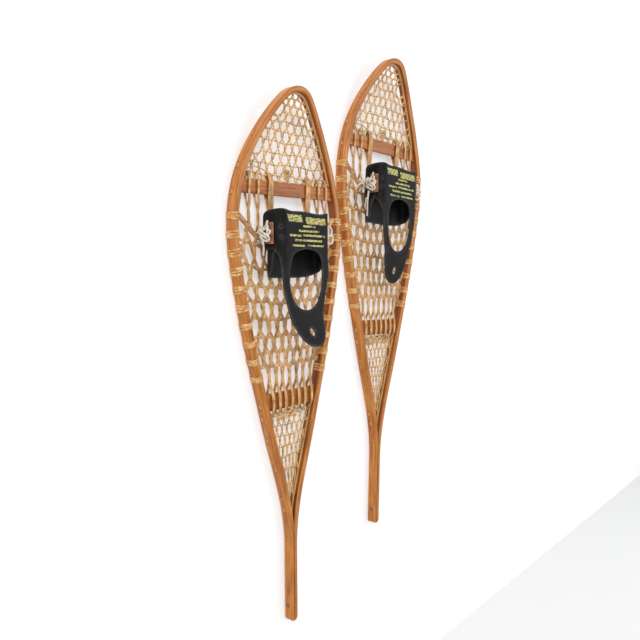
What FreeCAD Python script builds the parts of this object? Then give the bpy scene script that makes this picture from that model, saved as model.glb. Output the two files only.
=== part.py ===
import FreeCAD, Part
import math
import os
from FreeCAD import Placement, Rotation, Vector

# A pair of long-tailed wooden snowshoes with rubber bindings, hanging on a wall.
# Millimetres. Each shoe is modelled in its own frame and then placed: x is across the shoe,
# y goes from the walking side to the wall, z runs from the tail end to the toe.

# ---- driving dimensions of one shoe ----
LENGTH = 1219.2                 # 48 in
WIDTH = 355.6                   # 14 in
RAIL_DEPTH = 22.5               # rail, walking side to wall side
TAIL_GAP = 0.6                  # seam between the two tail ends
TAIL_CORNER = 8.0
TAIL_HALF = 11.4                # half the width of the two tail ends together
CROTCH_Z = 250.0                # where the two rails part
BEND_Z = 993.0                  # where the toe starts to turn up
TOE_RISE = 34.4

# outer outline of one side: height, half width
OUTLINE = [(120, TAIL_HALF), (215, 13.2), (317, 33.5), (414, 64), (549, 103.5), (683, 139.5),
           (805, 165.5), (905, WIDTH / 2), (1012, 161), (1097, 122), (1158, 81)]
TIP_RADIUS = 62.0
TIP_ANGLES = (48, 32, 16)       # degrees from the tip at which the round toe is passed
# width of the rail in plan: height, width
RAIL_WIDTHS = [(0, 11.1), (250, 15.5), (317, 17), (414, 18), (1012, 18), (1219, 13.5)]

BAR_FRONT_Y = 6.5
BAR_THICKNESS = 9.0
BAR_ROUNDING = 2.0
TENON = 7.0
FRONT_BAR = (983.0, 1015.0)     # bottom and top of the front crossbar
REAR_BAR = (508.0, 547.0)

WEB_FRONT_Y = 6.5
WEB_THICKNESS = 4.5
LACING_INSET = 3.0              # gap between a web panel and the rail
LANYARD = (2.2, 3.4)            # thong: out from the rail, along y

# web panels: hole pitch across and along, half hole, margin round the holes
TOE_WEB = {"pitch": (26, 21), "hole": (8.5, 9.5), "margin": 3.5}
CENTRE_WEB = {"pitch": (30, 38), "hole": (9.2, 15.8), "margin": 5}
TAIL_WEB = {"pitch": (15, 24), "hole": (4.5, 9.5), "margin": 3}
TOE_WEB_LOW = 1017.0
CENTRE_WEB_RANGE = (591.0, 877.5)
TAIL_WEB_RANGE = (298.0, 506.0)

STRAND_FRONT_Y = 3.5
STRAND_THICKNESS = 3.0
TOE_STRANDS = [(64, 14.0), (100, 5.0), (126, 5.0)]      # distance from the middle, width
HEEL_STRAND_PITCH = 20.0
HEEL_STRAND_WIDTH = 4.0
HEEL_STRAND_RANGE = (498.0, 591.0)

CORD_RADIUS = 6.0
CORD_Y = 8.0
CORD_Z = 890.0
CORD_STRAIGHT = 100.0           # half length of the straight stretch across the shoe
CORD_RAIL_Z = 940.0

WRAP_THICKNESS = 1.2
WRAP_FIRST_Z = 935.0
WRAP_PITCH = 39.0
WRAP_COUNT = 10
WRAP_WIDTH = 15.0

RIVET_HEIGHTS = (37.0, 205.0)
RIVET_RADIUS = 2.5
RIVET_HEAD = (4.5, 1.0)         # radius, height

# ---- driving dimensions of the binding ----
RUBBER = 4.0
PANEL_HALF = 84.0
PANEL_FRONT_Y = -54.0
PANEL_TOP = 946.0
PANEL_BOTTOM = 864.0
PANEL_CORNER = 22.0             # outer radius where the panel turns back into its sides
PANEL_BACK_Y = -1.5
SIDE_BOTTOM = 872.0
SLEEVE_FRONT_Y = -34.0
SLEEVE_BACK_Y = -2.0
SLEEVE_CORNER = 24.0
SLEEVE_TOP = 893.0
SLEEVE_SIDE_BOTTOM = 840.0
SLEEVE_BOTTOM = 803.0
SIDE_STEP = 30.0                # from the front of the panel to where its lower edge steps up
LACE_HOLE_RADIUS = 2.2
LACE_HOLE_X = 70.8
LACE_HOLE_HEIGHTS = (891.0, 913.0)
STRAP_HINGE_Z = PANEL_BOTTOM - 0.4 - RUBBER / 2
STRAP_LENGTH = 215.0
# drop from the hinge, half width
STRAP_EDGE = [(0, 78.5), (45, 77), (75, 71), (100, 65.5), (130, 57), (165, 48), (195, 33)]
LOOP_HALF = (55.0, 63.5)        # half width and half height of the heel loop
LOOP_DROP = 67.0
PULL_HOLE = (8.5, 9.5)          # half width and half height of the hole in the tab
PULL_HOLE_DROP = 178.0
PATCH = (24.0, 46.0, 3.0)       # along y, along z, thickness
PATCH_ROUNDING = 1.0
PATCH_Z = 900.0
PATCH_BACK_Y = -12.0
TIE_RADIUS = 2.25               # cotton cord
TIE_RING = 9.9                  # radius of the lashing ring's own centre line
KNOT = (9.5, 30.0)              # radius and height of the knot
KNOT_Y = -13.5
KNOT_Z = 893.0

# ---- where the two shoes hang ----
HANGER = Vector(0, BAR_FRONT_Y + BAR_THICKNESS / 2, FRONT_BAR[0])
RIGHT_OFFSET = Vector(329.0, 0, 138.0)
RIGHT_TILT = 2.14               # degrees, toe leaning to the right
SHOES = {
    "left": {"place": Placement(-HANGER, Rotation()), "shift": -8.5, "swing": 7.0},
    "right": {"place": Placement(RIGHT_OFFSET - HANGER, Rotation(Vector(0, 1, 0), RIGHT_TILT)),
              "shift": -3.0, "swing": -5.0},
}
# cotton cord ends: node, shoe, route in the shoe's frame before the binding's sideways shift
CORD_ENDS = [
    ("left_outer_cord_end", "left",
     [(-99, -16, 884), (-100, -18, 874), (-99.5, -18.5, 863), (-100.5, -18, 852)]),
    ("left_inner_cord_end", "left",
     [(99, -16, 884), (100.5, -19, 873), (100, -19, 861), (101.5, -18, 849)]),
    ("right_outer_cord_end", "right",
     [(-102, -20, 903), (-113, -25, 908), (-125, -26, 904), (-135, -25, 894), (-142, -24, 882)]),
    ("right_hanging_cord_end", "right",
     [(-99, -18, 884), (-104, -20, 870), (-106, -20, 854), (-104, -19, 838), (-103, -18, 822)]),
    ("right_inner_cord_end", "right",
     [(99, -16, 884), (101, -19, 872), (100.5, -19.5, 859), (102, -19, 846)]),
]


def interpolate(table, z):
    for (z0, v0), (z1, v1) in zip(table, table[1:]):
        if z <= z1:
            return v0 + (v1 - v0) * (z - z0) / (z1 - z0)
    return table[-1][1]


def curve_through(points, start_tangent, end_tangent):
    curve = Part.BSplineCurve()
    curve.interpolate(Points=points, InitialTangent=start_tangent, FinalTangent=end_tangent)
    return curve


def outline_points():
    """Height and half width of the outline's points, short of the tip itself."""
    tip = []
    for angle in TIP_ANGLES:
        turn = math.radians(angle)
        tip.append((LENGTH - TIP_RADIUS * (1 - math.cos(turn)), TIP_RADIUS * math.sin(turn)))
    return OUTLINE + tip


def outer_curve():
    points = [Vector(w, 0, z) for z, w in outline_points()] + [Vector(0, 0, LENGTH)]
    return curve_through(points, Vector(0, 0, 1), Vector(-1, 0, 0))


def inner_curve(inset=0.0):
    """The rail's inner face on the right-hand side, from the crotch to the toe, moved in by inset."""
    outer = outer_curve()
    points = []
    for z, w in outline_points():
        if z <= CROTCH_Z:
            continue
        tangent = Vector(*outer.tangent(outer.parameter(Vector(w, 0, z)))[0])
        inward = Vector(-abs(tangent.z), 0, math.copysign(abs(tangent.x), tangent.x))
        points.append(Vector(w, 0, z) + inward * (interpolate(RAIL_WIDTHS, z) + inset))
    crotch = Vector(TAIL_GAP / 2, 0, CROTCH_Z + 3.5 * inset)
    tip = Vector(0, 0, LENGTH - interpolate(RAIL_WIDTHS, LENGTH) - inset)
    return curve_through([crotch] + points + [tip], Vector(0.12, 0, 1), Vector(-1, 0, 0))


def half_width(curve, z):
    """x of a right-hand curve at height z."""
    low, high = curve.FirstParameter, curve.LastParameter
    for _ in range(40):
        middle = (low + high) / 2
        if curve.value(middle).z < z:
            low = middle
        else:
            high = middle
    return curve.value(low).x


def mirrored(shape):
    return shape.mirror(Vector(), Vector(1, 0, 0))


def line(a, b):
    return Part.LineSegment(Vector(*a), Vector(*b)).toShape()


def slab(front, back, low_z=-5.0):
    """The space between two depths, which bends forward with the toe above BEND_Z."""
    reach = LENGTH - BEND_Z
    radius = (reach ** 2 + TOE_RISE ** 2) / (2 * TOE_RISE)
    centre = Vector(0, -radius, BEND_Z)

    def on_arc(depth, angle):
        r = radius + depth
        return centre + Vector(0, r * math.cos(angle), r * math.sin(angle))

    top = 1.25 * math.asin(reach / radius)
    straight_front = Part.LineSegment(Vector(0, front, low_z), on_arc(front, 0))
    straight_back = Part.LineSegment(on_arc(back, 0), Vector(0, back, low_z))
    edges = [
        straight_front.toShape(),
        Part.Arc(on_arc(front, 0), on_arc(front, top / 2), on_arc(front, top)).toShape(),
        Part.LineSegment(on_arc(front, top), on_arc(back, top)).toShape(),
        Part.Arc(on_arc(back, top), on_arc(back, top / 2), on_arc(back, 0)).toShape(),
        straight_back.toShape(),
        Part.LineSegment(Vector(0, back, low_z), Vector(0, front, low_z)).toShape(),
    ]
    profile = Part.Face(Part.Wire(edges))
    profile.translate(Vector(-WIDTH, 0, 0))
    return profile.extrude(Vector(2 * WIDTH, 0, 0))


def bent_sheet(plan, front, back):
    """A plan face at y = 0, given its depths and the toe's bend."""
    block = plan.copy()
    block.translate(Vector(0, -90, 0))
    return block.extrude(Vector(0, 150, 0)).common(slab(front, back))


def frame():
    outer = outer_curve().toShape()
    inner = inner_curve().toShape()
    seam = TAIL_GAP / 2
    start = OUTLINE[0][0]
    corner_mid = TAIL_CORNER * (1 - math.sqrt(0.5))
    corner = Part.Arc(Vector(TAIL_HALF, 0, TAIL_CORNER), Vector(TAIL_HALF - corner_mid, 0, corner_mid),
                      Vector(TAIL_HALF - TAIL_CORNER, 0, 0)).toShape()
    half = [
        inner,
        line((seam, 0, CROTCH_Z), (seam, 0, 0)),
        line((seam, 0, 0), (TAIL_HALF - TAIL_CORNER, 0, 0)),
        corner,
        line((TAIL_HALF, 0, TAIL_CORNER), (TAIL_HALF, 0, start)),
        outer,
    ]
    edges = Part.sortEdges(half + [mirrored(edge) for edge in half])[0]
    return bent_sheet(Part.Face(Part.Wire(edges)), 0, RAIL_DEPTH)


def crossbar(bottom, top):
    inner = inner_curve()
    low = half_width(inner, bottom) + TENON
    high = half_width(inner, top) + TENON
    corners = [(-low, bottom), (low, bottom), (high, top), (-high, top), (-low, bottom)]
    wire = Part.makePolygon([Vector(x, BAR_FRONT_Y, z) for x, z in corners])
    bar = Part.Face(wire).extrude(Vector(0, BAR_THICKNESS, 0))
    long_edges = [edge for edge in bar.Edges if edge.BoundBox.XLength > low]
    return bar.makeFillet(BAR_ROUNDING, long_edges)


def tail_rivets():
    solids = []
    for z in RIVET_HEIGHTS:
        middle = RAIL_DEPTH / 2
        across = Vector(1, 0, 0)
        shank = Part.makeCylinder(RIVET_RADIUS, 2 * TAIL_HALF, Vector(-TAIL_HALF, middle, z), across)
        radius, height = RIVET_HEAD
        for side in (-1, 1):
            head = Part.makeCylinder(radius, height, Vector(side * TAIL_HALF, middle, z), across * side)
            shank = shank.fuse(head)
        solids.append(shank.removeSplitter())
    return Part.makeCompound(solids)


def lanyard(low_z, high_z):
    """A thong against the rail's inner face, between two heights."""
    out, deep = LANYARD
    near = inner_curve(0.15)
    far = inner_curve(0.15 + out)
    edges = [near.toShape(), mirrored(near.toShape()), far.toShape(), mirrored(far.toShape())]
    edges.append(line(tuple(near.StartPoint), tuple(far.StartPoint)))
    edges.append(mirrored(edges[-1]))
    wire = Part.Wire(Part.sortEdges(edges)[0])
    band = bent_sheet(Part.Face(wire), WEB_FRONT_Y + 0.5, WEB_FRONT_Y + 0.5 + deep)
    keep = Part.makeBox(2 * WIDTH, 200, high_z - low_z, Vector(-WIDTH, -100, low_z))
    return Part.makeCompound(band.common(keep).Solids)


def rectangle(half, low_z, high_z):
    corners = [(-half, low_z), (half, low_z), (half, high_z), (-half, high_z), (-half, low_z)]
    return Part.Face(Part.makePolygon([Vector(x, 0, z) for x, z in corners]))


def hexagon(x, z, half_x, half_z):
    flat = half_z * 0.45
    corners = [(0, half_z), (half_x, flat), (half_x, -flat), (0, -half_z), (-half_x, -flat), (-half_x, flat)]
    points = [Vector(x + dx, 0, z + dz) for dx, dz in corners]
    return Part.makePolygon(points + points[:1])


def web(low_z, high_z, pitch, hole, margin):
    """A laced panel between two heights: an outline inside the rails, with staggered holes."""
    edge = inner_curve(LACING_INSET)
    limit = min(high_z, edge.EndPoint.z)
    sides = [edge.toShape(), mirrored(edge.toShape())]
    sides.append(line((-edge.StartPoint.x, 0, edge.StartPoint.z), tuple(edge.StartPoint)))
    inside = Part.Face(Part.Wire(Part.sortEdges(sides)[0]))
    strip = rectangle(WIDTH, low_z, high_z)
    wires = [inside.common(strip).Faces[0].OuterWire]
    row = 0
    z = low_z + margin + hole[1]
    while z + hole[1] + margin < limit:
        column = (row % 2) * pitch[0] / 2
        while column + hole[0] + margin < min(half_width(edge, z - hole[1]), half_width(edge, z + hole[1])):
            for x in {column, -column}:
                wires.append(hexagon(x, z, *hole))
            column += pitch[0]
        z += pitch[1]
        row += 1
    plan = Part.makeFace(wires, "Part::FaceMakerBullseye")
    return bent_sheet(plan, WEB_FRONT_Y, WEB_FRONT_Y + WEB_THICKNESS)


def strand(x, width, low_z, high_z):
    corner = Vector(x - width / 2, STRAND_FRONT_Y, low_z)
    return Part.makeBox(width, STRAND_THICKNESS, high_z - low_z, corner)


def cord_top(x):
    """Upper edge of the toe cord at a distance x from the middle of the shoe."""
    reach = half_width(inner_curve(), CORD_RAIL_Z) - CORD_STRAIGHT
    rise = (CORD_RAIL_Z - CORD_Z) / reach
    sloping = rise * (x - CORD_STRAIGHT) + CORD_RADIUS * math.hypot(1, rise)
    return CORD_Z + max(CORD_RADIUS, sloping)


def toe_strands():
    strands = []
    for x, width in TOE_STRANDS:
        low = max(cord_top(x + width / 2), CORD_Z + TIE_RING + TIE_RADIUS) + 0.8
        for side in (-1, 1):
            strands.append(strand(side * x, width, low, TOE_WEB_LOW - 0.2))
    return Part.makeCompound(strands)


def heel_strands():
    reach = half_width(inner_curve(), REAR_BAR[0]) - 12
    count = int(reach / HEEL_STRAND_PITCH)
    strands = []
    for i in range(-count, count + 1):
        strands.append(strand(i * HEEL_STRAND_PITCH, HEEL_STRAND_WIDTH, *HEEL_STRAND_RANGE))
    return Part.makeCompound(strands)


def toe_cord(rail):
    """The master cord: straight across the foot, then up and out to each rail."""
    inner_x = half_width(inner_curve(), CORD_RAIL_Z) - 0.5
    left_end = Vector(-CORD_STRAIGHT, CORD_Y, CORD_Z)
    middle = Part.makeCylinder(CORD_RADIUS, 2 * CORD_STRAIGHT, left_end, Vector(1, 0, 0))
    solids = [middle]
    for side in (-1, 1):
        start = Vector(side * CORD_STRAIGHT, CORD_Y, CORD_Z)
        run = Vector(side * inner_x, CORD_Y, CORD_RAIL_Z) - start
        leg = Part.makeCylinder(CORD_RADIUS, run.Length, start, run)
        leg = leg.fuse(Part.makeSphere(CORD_RADIUS, start)).cut(middle)
        solids.append(leg.cut(rail))
    return Part.makeCompound([max(s.Solids, key=lambda solid: solid.Volume) for s in solids])


def wrap_blocks(front, back):
    """A block round each rail where a rawhide turn lies, between two depths."""
    outer = outer_curve()
    inner = inner_curve()
    blocks = []
    for i in range(WRAP_COUNT):
        z = WRAP_FIRST_Z - i * WRAP_PITCH
        x_out = half_width(outer, z)
        x_in = half_width(inner, z)
        run = half_width(outer, z + 10) - half_width(outer, z - 10)
        slope = math.atan2(run, 20)
        wide = (x_out - x_in) * math.cos(slope) + 2 * WRAP_THICKNESS
        block = Part.makeBox(wide, back - front, WRAP_WIDTH, Vector(-wide / 2, front, -WRAP_WIDTH / 2))
        block.rotate(Vector(), Vector(0, 1, 0), math.degrees(slope))
        block.translate(Vector((x_out + x_in) / 2, 0, z))
        blocks += [block, mirrored(block)]
    return blocks


def grooved(rail):
    """The rail with a shallow groove across its wall side for each turn, so that it lies flat."""
    for block in wrap_blocks(RAIL_DEPTH - WRAP_THICKNESS, RAIL_DEPTH + 1):
        rail = rail.cut(block)
    return rail


def rail_wraps(rail):
    """Rawhide turns round both rails, closely fitted to them and flush on the wall side."""
    solids = []
    for block in wrap_blocks(-WRAP_THICKNESS, RAIL_DEPTH):
        solids += block.cut(rail).Solids
    return Part.makeCompound(solids)


def channel(half, front, back, corner, low_z, high_z):
    """A rubber sheet bent into a U seen along z: the closed side is at y = front, open at y = back."""
    sign = 1 if back > front else -1

    def right_side(inset):
        r = corner - inset
        x = half - inset
        y = front + sign * inset
        mid = r * (1 - math.sqrt(0.5))
        arc = Part.Arc(Vector(x - r, y, 0), Vector(x - mid, y + sign * mid, 0), Vector(x, y + sign * r, 0))
        return [line((0, y, 0), (x - r, y, 0)), arc.toShape(), line((x, y + sign * r, 0), (x, back, 0))]

    end = line((half, back, 0), (half - RUBBER, back, 0))
    edges = right_side(0) + right_side(RUBBER) + [end]
    wire = Part.Wire(Part.sortEdges(edges + [mirrored(edge) for edge in edges])[0])
    sheet = Part.Face(wire)
    sheet.translate(Vector(0, 0, low_z))
    return sheet.extrude(Vector(0, 0, high_z - low_z))


def side_profile(points, reach):
    """A block across the whole binding with the given (y, z) outline."""
    wire = Part.makePolygon([Vector(-reach, y, z) for y, z in points + points[:1]])
    return Part.Face(wire).extrude(Vector(2 * reach, 0, 0))


def instep_panel():
    panel = channel(PANEL_HALF, PANEL_FRONT_Y, PANEL_BACK_Y, PANEL_CORNER, PANEL_BOTTOM, PANEL_TOP)
    step_y = PANEL_FRONT_Y + SIDE_STEP
    left = Vector(-2 * PANEL_HALF, step_y, PANEL_BOTTOM)
    arch = Part.makeCylinder(SIDE_BOTTOM - PANEL_BOTTOM, 4 * PANEL_HALF, left, Vector(1, 0, 0))
    below = PANEL_BOTTOM - 1
    corners = [(step_y, below), (10, below), (10, SIDE_BOTTOM), (step_y, SIDE_BOTTOM)]
    panel = panel.cut(arch.fuse(side_profile(corners, 2 * PANEL_HALF)))
    for side in (-1, 1):
        for z in LACE_HOLE_HEIGHTS:
            front = Vector(side * LACE_HOLE_X, PANEL_FRONT_Y - 5, z)
            panel = panel.cut(Part.makeCylinder(LACE_HOLE_RADIUS, 22, front, Vector(0, 1, 0)))
    return panel


def toe_sleeve():
    half = PANEL_HALF - RUBBER - 0.05
    sleeve = channel(half, SLEEVE_BACK_Y, SLEEVE_FRONT_Y, SLEEVE_CORNER, SLEEVE_BOTTOM - 1, SLEEVE_TOP)
    reach = SLEEVE_SIDE_BOTTOM - SLEEVE_BOTTOM
    low = SLEEVE_BOTTOM - 2
    left = Vector(-2 * half, 0, SLEEVE_SIDE_BOTTOM + 1.5 * reach)
    right = Vector(2 * half, 0, SLEEVE_SIDE_BOTTOM + 1.5 * reach)
    below = Part.Wire([
        Part.Arc(left, Vector(0, 0, SLEEVE_BOTTOM), right).toShape(),
        line(tuple(right), (right.x, 0, low)),
        line((right.x, 0, low), (left.x, 0, low)),
        line((left.x, 0, low), tuple(left)),
    ])
    block = Part.Face(below)
    block.translate(Vector(0, -80, 0))
    return sleeve.cut(block.extrude(Vector(0, 120, 0)))


def heel_strap(swing):
    """Flat rubber loop and tab under the panel, swung about its round root by some degrees, forward positive."""
    edge = [Vector(w, 0, -drop) for drop, w in STRAP_EDGE]
    right = Part.BSplineCurve()
    right.interpolate(edge)
    end = edge[-1]
    tip = Part.Arc(end, Vector(0, 0, -STRAP_LENGTH), Vector(-end.x, 0, end.z)).toShape()
    top = line((-edge[0].x, 0, 0), (edge[0].x, 0, 0))
    outline = Part.Wire(Part.sortEdges([right.toShape(), mirrored(right.toShape()), tip, top])[0])
    loop = oval(LOOP_HALF, -LOOP_DROP)
    hole = oval(PULL_HOLE, -PULL_HOLE_DROP)
    strap = Part.makeFace([outline, loop, hole], "Part::FaceMakerBullseye")
    strap = strap.extrude(Vector(0, RUBBER, 0))
    strap.translate(Vector(0, -RUBBER / 2, 0))
    root = Part.makeCylinder(RUBBER / 2, 2 * edge[0].x, Vector(-edge[0].x, 0, 0), Vector(1, 0, 0))
    strap = strap.fuse(root).removeSplitter()
    strap.rotate(Vector(), Vector(1, 0, 0), -swing)
    strap.translate(Vector(0, PANEL_FRONT_Y + RUBBER / 2, STRAP_HINGE_Z))
    return strap


def oval(half, z):
    half_x, half_z = half
    if half_x > half_z:
        curve = Part.Ellipse(Vector(0, 0, z), half_x, half_z)
    else:
        curve = Part.Ellipse(Vector(0, 0, z + half_z), Vector(half_x, 0, z), Vector(0, 0, z))
    return Part.Wire(curve.toShape())


def side_patches():
    deep, tall, thick = PATCH
    solids = []
    for side in (-1, 1):
        x = PANEL_HALF if side > 0 else -PANEL_HALF - thick
        patch = Part.makeBox(thick, deep, tall, Vector(x, PATCH_BACK_Y - deep, PATCH_Z - tall / 2))
        corners = [edge for edge in patch.Edges if edge.BoundBox.XLength > thick / 2]
        solids.append(patch.makeFillet(PATCH_ROUNDING, corners))
    return Part.makeCompound(solids)


def cord_ties():
    """On each side a lashing ring round the toe cord and the knot that closes it."""
    radius, height = KNOT
    straight = height - 2 * radius
    solids = []
    for side in (-1, 1):
        patch_x = side * (PANEL_HALF + PATCH[2])
        ring_x = patch_x + side * (TIE_RADIUS + 0.6)
        solids.append(Part.makeTorus(TIE_RING, TIE_RADIUS, Vector(ring_x, CORD_Y, CORD_Z), Vector(1, 0, 0)))
        foot = Vector(patch_x + side * (radius + 0.05), KNOT_Y, KNOT_Z - straight / 2)
        head = foot + Vector(0, 0, straight)
        knot = Part.makeCylinder(radius, straight, foot)
        knot = knot.fuse([Part.makeSphere(radius, foot), Part.makeSphere(radius, head)]).removeSplitter()
        solids.append(knot)
    return Part.makeCompound(solids)


def cord_tube(route, radius):
    """Straight runs joined by tangent arcs as large as the runs allow."""
    points = [Vector(*p) for p in route]
    edges = []
    start = points[0]
    radii = []
    for before, corner, after in zip(points, points[1:], points[2:]):
        back = (before - corner).normalize()
        ahead = (after - corner).normalize()
        run = min((before - corner).Length, (after - corner).Length)
        half_turn = (math.pi - back.getAngle(ahead)) / 2
        cut = 0.45 * run
        first = corner + back * cut
        last = corner + ahead * cut
        arc_radius = cut / math.tan(half_turn)
        radii.append(arc_radius)
        inward = (back + ahead).normalize()
        centre = corner + inward * (arc_radius / math.cos(half_turn))
        middle = centre - inward * arc_radius
        edges.append(Part.LineSegment(start, first).toShape())
        edges.append(Part.Arc(first, middle, last).toShape())
        start = last
    edges.append(Part.LineSegment(start, points[-1]).toShape())
    path = Part.Wire(edges)
    direction = (points[1] - points[0]).normalize()
    section = Part.Wire(Part.Circle(points[0], direction, radius).toShape())
    tube = path.makePipeShell([section], True, True)
    wanted = math.pi * radius ** 2 * path.Length
    print("cord length %.1f, smallest radius %.1f, volume ratio %.4f"
          % (path.Length, min(radii), tube.Volume / wanted))
    return tube


def build_shoe(side):
    shoe = SHOES[side]
    whole_rail = grooved(frame())
    bars = {"front_crossbar": crossbar(*FRONT_BAR), "rear_crossbar": crossbar(*REAR_BAR)}
    rivets = tail_rivets()
    rail = whole_rail
    for fitted in list(bars.values()) + rivets.Solids:
        rail = rail.cut(fitted)
    fixed = {
        "frame": rail,
        "tail_rivets": rivets,
        "toe_lanyard": lanyard(TOE_WEB_LOW, LENGTH),
        "tail_lanyard": lanyard(CROTCH_Z, REAR_BAR[0] - 2),
        "toe_lacing": web(TOE_WEB_LOW, LENGTH, **TOE_WEB),
        "centre_lacing": web(*CENTRE_WEB_RANGE, **CENTRE_WEB),
        "tail_lacing": web(*TAIL_WEB_RANGE, **TAIL_WEB),
        "toe_strands": toe_strands(),
        "heel_strands": heel_strands(),
        "toe_cord": toe_cord(whole_rail),
        "rail_wraps": rail_wraps(whole_rail),
    }
    fixed.update(bars)
    binding = {
        "instep_panel": instep_panel(),
        "toe_sleeve": toe_sleeve(),
        "heel_strap": heel_strap(shoe["swing"]),
        "side_patches": side_patches(),
        "cord_ties": cord_ties(),
    }
    parts = {side + "_" + name: shape for name, shape in fixed.items()}
    shift = Vector(shoe["shift"], 0, 0)
    for name, shape in binding.items():
        shape.translate(shift)
        parts[side + "_" + name] = shape
    for name, owner, route in CORD_ENDS:
        if owner == side:
            tube = cord_tube(route, TIE_RADIUS)
            tube.translate(shift)
            parts[name] = tube
    for shape in parts.values():
        shape.Placement = shoe["place"].multiply(shape.Placement)
    return parts


os.makedirs("parts", exist_ok=True)
for shoe_side in SHOES:
    for node, solid in build_shoe(shoe_side).items():
        if not solid.isValid() or not solid.Solids:
            print("check", node, solid.isValid(), len(solid.Solids))
        solid.exportStep("parts/%s.step" % node)
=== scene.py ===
import math

import bpy
import numpy as np
from mathutils import Matrix, Vector


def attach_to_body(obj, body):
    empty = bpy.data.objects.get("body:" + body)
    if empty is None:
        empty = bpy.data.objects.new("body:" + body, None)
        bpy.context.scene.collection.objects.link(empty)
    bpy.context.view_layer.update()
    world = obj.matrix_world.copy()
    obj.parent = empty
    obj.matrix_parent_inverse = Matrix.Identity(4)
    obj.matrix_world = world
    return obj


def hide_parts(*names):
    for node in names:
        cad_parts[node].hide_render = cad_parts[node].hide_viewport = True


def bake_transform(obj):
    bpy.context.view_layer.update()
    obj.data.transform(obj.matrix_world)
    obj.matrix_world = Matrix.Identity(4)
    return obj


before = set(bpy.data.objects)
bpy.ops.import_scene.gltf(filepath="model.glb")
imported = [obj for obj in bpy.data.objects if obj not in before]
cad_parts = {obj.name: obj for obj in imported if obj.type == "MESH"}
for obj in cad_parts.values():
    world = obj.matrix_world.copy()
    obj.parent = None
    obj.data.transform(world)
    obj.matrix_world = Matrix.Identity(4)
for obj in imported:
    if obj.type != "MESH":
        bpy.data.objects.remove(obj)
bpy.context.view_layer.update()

# Sizes are millimetres in a shoe's own frame, as in part.py: x across, y (depth) from the walking
# side to the wall, z up from the tail end. to_row() turns them into the model's metres.
LENGTH = 1219.2
RAIL_DEPTH = 22.5
TAIL_HALF = 11.4
TAIL_GAP = 0.6
TAIL_CORNER = 8.0
TAIL_STRAIGHT = 120.0
BEND_Z = 993.0
TOE_RISE = 34.4
BEND_RADIUS = ((LENGTH - BEND_Z) ** 2 + TOE_RISE ** 2) / (2 * TOE_RISE)
OUTLINE = [(120, TAIL_HALF), (215, 13.2), (317, 33.5), (414, 64), (549, 103.5), (683, 139.5),
           (805, 165.5), (905, 177.8), (1012, 161), (1097, 122), (1158, 81)]
TIP_RADIUS = 62.0
TIP_INNER_RADIUS = 48.5
TIP_ANGLES = (48, 32, 16)
RAIL_WIDTHS = [(0, 11.1), (250, 15.5), (317, 17), (414, 18), (1012, 18), (1219.2, 13.5)]
RAIL_ROUNDING = 3.0
REAR_BAR = (508.0, 547.0)
OVER_BAR_Y = 4.6     # strands in front of and behind a crossbar
BEHIND_BAR_Y = 17.2
TOE_WEB_Y = 12.0     # depth of each web
CENTRE_WEB_Y = 9.6
TAIL_WEB_Y = 12.4
CORD_Y = 8.0         # middle of the toe cord
CORD_Z = 890.0
CORD_STRAIGHT = 100.0
CORD_RAIL_Z = 940.0
CORD_TWIST = 34.0    # length in which its strands turn by one radian
WRAP_HEIGHTS = [935 - 39 * i for i in range(10)]
TURN_OFFSETS = (-5.2, 0.3, 5.4)

HANGER = np.array([0, 11.0, 983.0])
RIGHT_OFFSET = np.array([329.0, 0, 138.0])
RIGHT_TILT = math.radians(2.14)
SIDES = ("left", "right")
SHIFT = {"left": -8.5, "right": -3.0}      # binding's place across the shoe
DROP = {"left": 0.0, "right": 7.0}         # how far the rubber hangs below the place of its CAD solid
PATCH_FORWARD = {"left": 0.0, "right": 8.0}    # how far patches lie in front of their CAD solids
KNOT_FORWARD = {"left": 3.0, "right": 12.0}

# Weave rows: heights of the hole rows from the top down, and the hole pitch at the first and last.
TOE_ROWS = [1212, 1197, 1183, 1168, 1152, 1133, 1111, 1087.5, 1063, 1039, 1016]
TOE_PITCH = (20.0, 26.5)
# larger holes in the toe web: x, z, size
TOE_GAPS = [(-51.5, 1165, 15), (-103, 1084, 16), (61, 1147, 11), (-129, 1034, 11)]
CENTRE_ROWS = [935, 886, 840, 795, 763.5, 731, 690.5, 655, 622, 592]
CENTRE_PITCH = (34.0, 23.0)
TAIL_ROWS = [504, 480, 456, 431, 407, 381, 342, 292, 240]
TAIL_PITCH = (20.0, 8.0)
STRAND_HALF_THICKNESS = 0.9


# ---- places ----

def to_row(side, points):
    """Shoe points in millimetres to model points in metres."""
    p = np.array(points, float).reshape(-1, 3)
    if side == "right":
        c, s = math.cos(RIGHT_TILT), math.sin(RIGHT_TILT)
        p = np.stack([c * p[:, 0] + s * p[:, 2], p[:, 1], c * p[:, 2] - s * p[:, 0]], 1) + RIGHT_OFFSET
    return (p - HANGER) / 1000


def ease(t):
    """A smooth rise from 0 to 1 as t goes from 0 to 1."""
    t = min(1.0, max(0.0, t))
    return t * t * (3 - 2 * t)


def hung(side, x, y, z):
    """Where a point of the binding is once it hangs in its own place on the shoe."""
    return x + SHIFT[side], y, z - DROP[side]


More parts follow.
